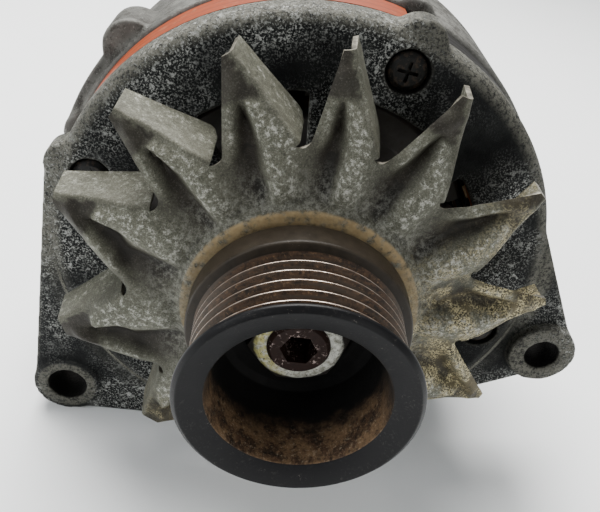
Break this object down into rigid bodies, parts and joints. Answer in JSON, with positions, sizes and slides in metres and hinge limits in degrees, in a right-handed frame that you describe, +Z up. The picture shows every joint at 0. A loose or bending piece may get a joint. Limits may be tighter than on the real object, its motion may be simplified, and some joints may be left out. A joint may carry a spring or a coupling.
{
  "type": "car alternator",
  "caption": "Car alternator with an outside cooling fan, a deep-cup ribbed belt pulley, two eared cast housings, and a rotor, brushes, bearings and rectifier inside.",
  "frame": {"origin": "on the shaft axis, in the middle of the belt's width", "axes": "-Y along the shaft, out of the pulley's open end; +Z up; +X towards the adjuster ear"},
  "size_m": [0.1686, 0.1469, 0.142],
  "materials": {
    "cast_aluminium": "weathered rough casting",
    "lamination_steel": "lacquered stacked sheets",
    "copper": "lacquered copper",
    "insulation_paper": "matte",
    "black_steel": "blackened",
    "bearing_steel": "ground and polished",
    "cage_brass": "satin",
    "pressed_steel": "satin",
    "zinc_steel": "zinc plated, dulled",
    "rotor_steel": "forged, dark",
    "shaft_steel": "machined, rusted at the end",
    "fan_steel": "chromated sheet, stained",
    "pulley_steel": "black, worn and rusty in the grooves",
    "black_plastic": "moulded",
    "red_resin": "moulded",
    "brown_resin": "moulded",
    "cream_resin": "moulded",
    "rubber_sleeve": "moulded",
    "heat_sink_aluminium": "as rolled",
    "diode_case": "plated",
    "diode_resin": "moulded",
    "terminal_brass": "yellow plated",
    "carbon": "pressed carbon",
    "spring_steel": "bright wire"
  },
  "bodies": {
    "housing": {"front_housing": "cast_aluminium", "rear_housing": "cast_aluminium", "stator_core": "lamination_steel", "stator_winding": "copper", "slot_liners": "insulation_paper", "through_bolts": "black_steel", "front_bearing_outer_ring": "bearing_steel", "front_bearing_shields": "pressed_steel", "bearing_retainer": "pressed_steel", "retainer_screws": "zinc_steel", "rear_bearing_outer_ring": "bearing_steel", "rear_bearing_sleeve": "rubber_sleeve", "positive_heat_sink": "heat_sink_aluminium", "negative_heat_sink": "heat_sink_aluminium", "positive_diodes": "diode_case", "negative_diodes": "diode_case", "exciter_diodes": "diode_resin", "terminal_board": "brown_resin", "rectifier_spacers": "cream_resin", "rectifier_screws": "zinc_steel", "output_stud": "terminal_brass", "output_insulator": "black_plastic", "output_nuts": "terminal_brass", "lamp_terminal": "terminal_brass", "lamp_insulator": "black_plastic", "regulator": "black_plastic", "regulator_heat_sink": "heat_sink_aluminium", "regulator_screws": "zinc_steel", "brush_holder": "brown_resin", "front_brush_spring": "spring_steel", "rear_brush_spring": "spring_steel"},
    "rotor": {"front_bearing_inner_ring": "bearing_steel", "rear_bearing_inner_ring": "bearing_steel", "shaft": "shaft_steel", "front_claw_pole": "rotor_steel", "rear_claw_pole": "rotor_steel", "pole_core": "rotor_steel", "field_bobbin": "black_plastic", "field_coil": "copper", "slip_rings": "copper", "slip_ring_carrier": "red_resin", "inner_spacer": "pressed_steel", "outer_spacer": "pressed_steel", "fan": "fan_steel", "pulley": "pulley_steel", "pulley_washer": "zinc_steel", "pulley_nut": "zinc_steel"},
    "front_ball_set": {"front_bearing_balls": "bearing_steel", "front_bearing_cage": "cage_brass"},
    "rear_ball_set": {"rear_bearing_balls": "bearing_steel", "rear_bearing_cage": "cage_brass"},
    "front_brush": {"front_brush": "carbon"},
    "rear_brush": {"rear_brush": "carbon"},
    "pivot_bush": {"pivot_bush": "pressed_steel"}
  },
  "joints": [
    {"name": "rotor_spin", "type": "hinge", "parent": "housing", "child": "rotor", "pos_m": [0, 0.07, 0], "axis": [0, -1, 0], "continuous": true},
    {"name": "front_cage_spin", "type": "hinge", "parent": "housing", "child": "front_ball_set", "pos_m": [0, 0.07, 0], "axis": [0, -1, 0], "continuous": true},
    {"name": "rear_cage_spin", "type": "hinge", "parent": "housing", "child": "rear_ball_set", "pos_m": [0, 0.07, 0], "axis": [0, -1, 0], "continuous": true},
    {"name": "front_brush_slide", "type": "slide", "parent": "housing", "child": "front_brush", "axis": [0, 0, 1], "range_m": [0, 0.003], "stiffness_N_per_m": 250, "springref_m": -0.012, "deforming": ["front_brush_spring"]},
    {"name": "rear_brush_slide", "type": "slide", "parent": "housing", "child": "rear_brush", "axis": [0, 0, 1], "range_m": [0, 0.003], "stiffness_N_per_m": 250, "springref_m": -0.012, "deforming": ["rear_brush_spring"]},
    {"name": "pivot_bush_slide", "type": "slide", "parent": "housing", "child": "pivot_bush", "axis": [0, -1, 0], "range_m": [-0.001, 0.003]}
  ],
  "couplings": [
    {"joint": "front_cage_spin", "follows": "rotor_spin", "ratio": 0.3656},
    {"joint": "rear_cage_spin", "follows": "rotor_spin", "ratio": 0.384}
  ]
}
